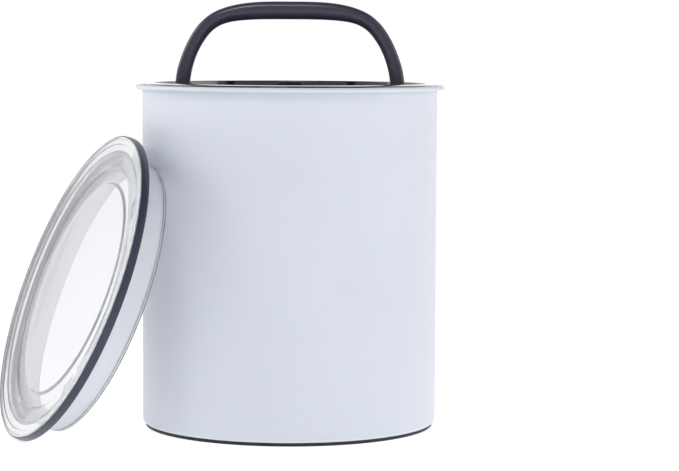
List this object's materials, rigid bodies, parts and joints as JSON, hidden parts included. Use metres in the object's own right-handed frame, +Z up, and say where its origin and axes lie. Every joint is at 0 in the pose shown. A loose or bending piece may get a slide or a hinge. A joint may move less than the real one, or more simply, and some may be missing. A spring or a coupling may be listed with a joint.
{
  "type": "coffee canister with valve",
  "caption": "Round steel storage canister with a sliding inner lid, a fold-down handle that closes its air valve, and a clear outer lid taken off and leaning on its side.",
  "frame": {"origin": "on the canister's axis, on the surface it stands on", "axes": "+Z up along the canister's axis, +X to the right as the viewer sees it, -Y towards the viewer, handle pivots along X"},
  "size_m": [0.269, 0.2354, 0.2564],
  "materials": {
    "powder_coat": "matte fine-textured light blue-grey coat over steel",
    "black_silicone": "matte",
    "lid_moulding": "glossy black",
    "under_plate": "satin",
    "wiper_silicone": "satin dark grey",
    "screw_steel": "bright",
    "pin_steel": "bright",
    "handle_moulding": "soft fine texture, dark grey",
    "bezel_moulding": "glossy black",
    "bar_moulding": "satin grey",
    "stem_steel": "bright",
    "knob_moulding": "glossy black",
    "plug_silicone": "satin grey",
    "clip_steel": "bright",
    "spring_steel": "bright",
    "clear_moulding": "clear, polished",
    "seal_silicone": "satin dark blue-grey"
  },
  "bodies": {
    "canister": {"canister_shell": "powder_coat", "base_pad": "black_silicone"},
    "inner_lid": {"inner_lid_plate": "lid_moulding", "inner_lid_base": "under_plate", "wiper_gasket": "wiper_silicone", "lid_screws": "screw_steel", "pivot_pins": "pin_steel", "valve_bezel": "bezel_moulding", "valve_spring": "spring_steel"},
    "handle": {"handle": "handle_moulding"},
    "valve": {"lift_bar": "bar_moulding", "valve_stem": "stem_steel", "valve_knob": "knob_moulding", "valve_plug": "plug_silicone", "stem_clip": "clip_steel"},
    "outer_lid": {"outer_lid": "clear_moulding", "outer_lid_gasket": "seal_silicone"}
  },
  "joints": [
    {"name": "inner_lid_slide", "type": "slide", "parent": "canister", "child": "inner_lid", "axis": [0, 0, 1], "range_m": [-0.17, 0.15]},
    {"name": "handle_turn", "type": "hinge", "parent": "inner_lid", "child": "handle", "pos_m": [0, 0, 0.2026], "axis": [1, 0, 0], "range_deg": [0, 90]},
    {"name": "valve_slide", "type": "slide", "parent": "inner_lid", "child": "valve", "axis": [0, 0, -1], "range_m": [0, 0.002], "deforming": ["valve_spring"]},
    {"name": "outer_lid_slide", "type": "slide", "parent": "canister", "child": "outer_lid", "axis": [-0.9212, -0.3891, 0], "range_m": [0, 0.12]}
  ],
  "couplings": [
    {"joint": "valve_slide", "follows": "handle_turn", "m_per_rad": 0.0012732}
  ]
}
